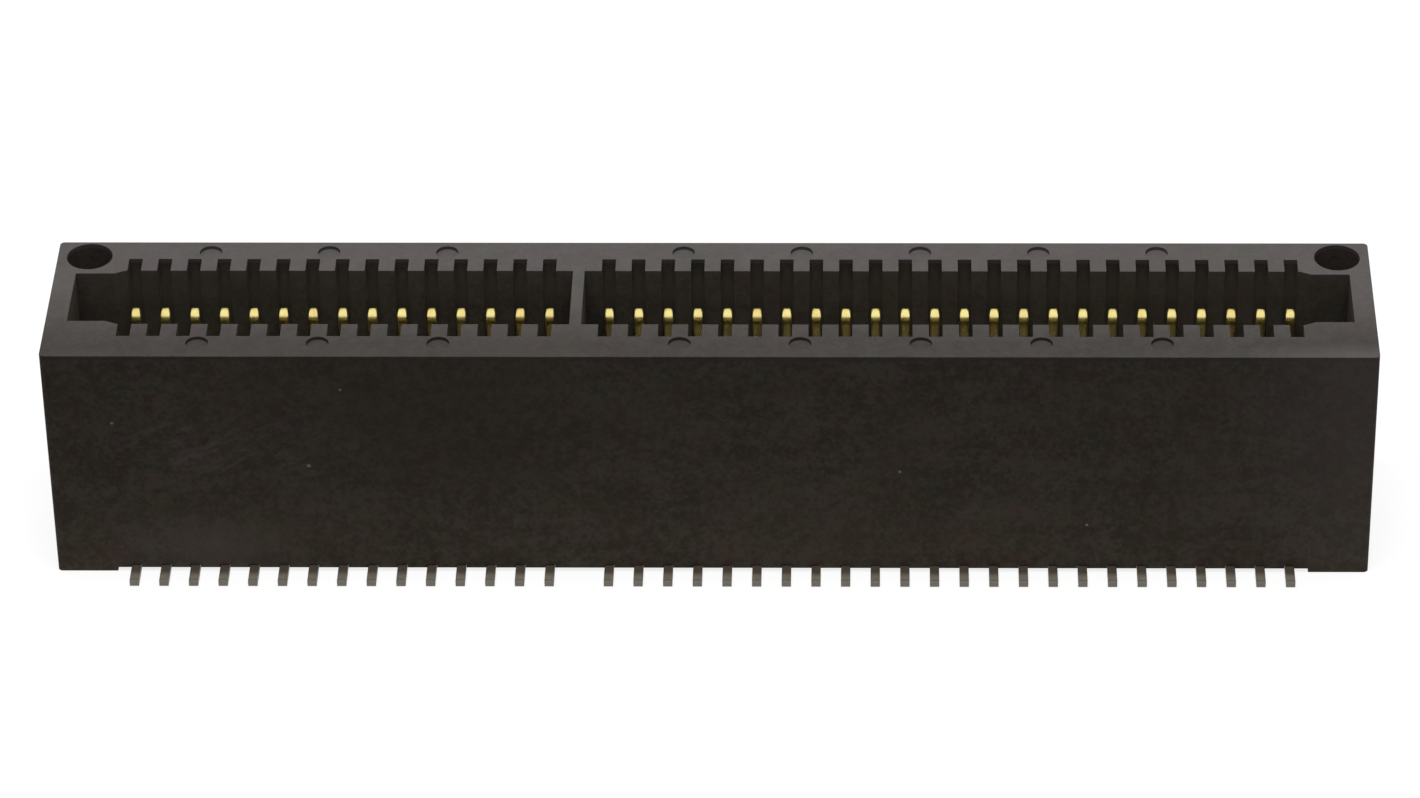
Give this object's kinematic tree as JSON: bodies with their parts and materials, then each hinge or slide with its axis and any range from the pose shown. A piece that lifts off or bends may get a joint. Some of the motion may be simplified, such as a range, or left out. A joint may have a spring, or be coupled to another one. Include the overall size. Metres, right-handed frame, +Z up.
{
  "type": "card edge connector",
  "caption": "Low vertical socket for the edge of a circuit card: a long black housing with a keyed slot, facing rows of gold spring contacts and surface-mount solder feet.",
  "frame": {"origin": "under the middle of the card slot, at the level of the standoffs and the solder feet", "axes": "+X along the contact rows, with the key left of the middle; +Y to the rear, where the two core holes are; +Z up, out of the card slot"},
  "size_m": [0.0282, 0.0056, 0.0056],
  "materials": {
    "housing_plastic": "matte black, glass-filled",
    "contact_metal": "gold plating at the contact end, matte tin on the solder foot"
  },
  "bodies": {
    "root": {"housing": "housing_plastic", "contact_pair_01": "contact_metal", "contact_pair_02": "contact_metal", "contact_pair_03": "contact_metal", "contact_pair_04": "contact_metal", "contact_pair_05": "contact_metal", "contact_pair_06": "contact_metal", "contact_pair_07": "contact_metal", "contact_pair_08": "contact_metal", "contact_pair_09": "contact_metal", "contact_pair_10": "contact_metal", "contact_pair_11": "contact_metal", "contact_pair_12": "contact_metal", "contact_pair_13": "contact_metal", "contact_pair_14": "contact_metal", "contact_pair_15": "contact_metal", "contact_pair_17": "contact_metal", "contact_pair_18": "contact_metal", "contact_pair_19": "contact_metal", "contact_pair_20": "contact_metal", "contact_pair_21": "contact_metal", "contact_pair_22": "contact_metal", "contact_pair_23": "contact_metal", "contact_pair_24": "contact_metal", "contact_pair_25": "contact_metal", "contact_pair_26": "contact_metal", "contact_pair_27": "contact_metal", "contact_pair_28": "contact_metal", "contact_pair_29": "contact_metal", "contact_pair_30": "contact_metal", "contact_pair_31": "contact_metal", "contact_pair_32": "contact_metal", "contact_pair_33": "contact_metal", "contact_pair_34": "contact_metal", "contact_pair_35": "contact_metal", "contact_pair_36": "contact_metal", "contact_pair_37": "contact_metal", "contact_pair_38": "contact_metal", "contact_pair_39": "contact_metal", "contact_pair_40": "contact_metal"}
  },
  "joints": []
}
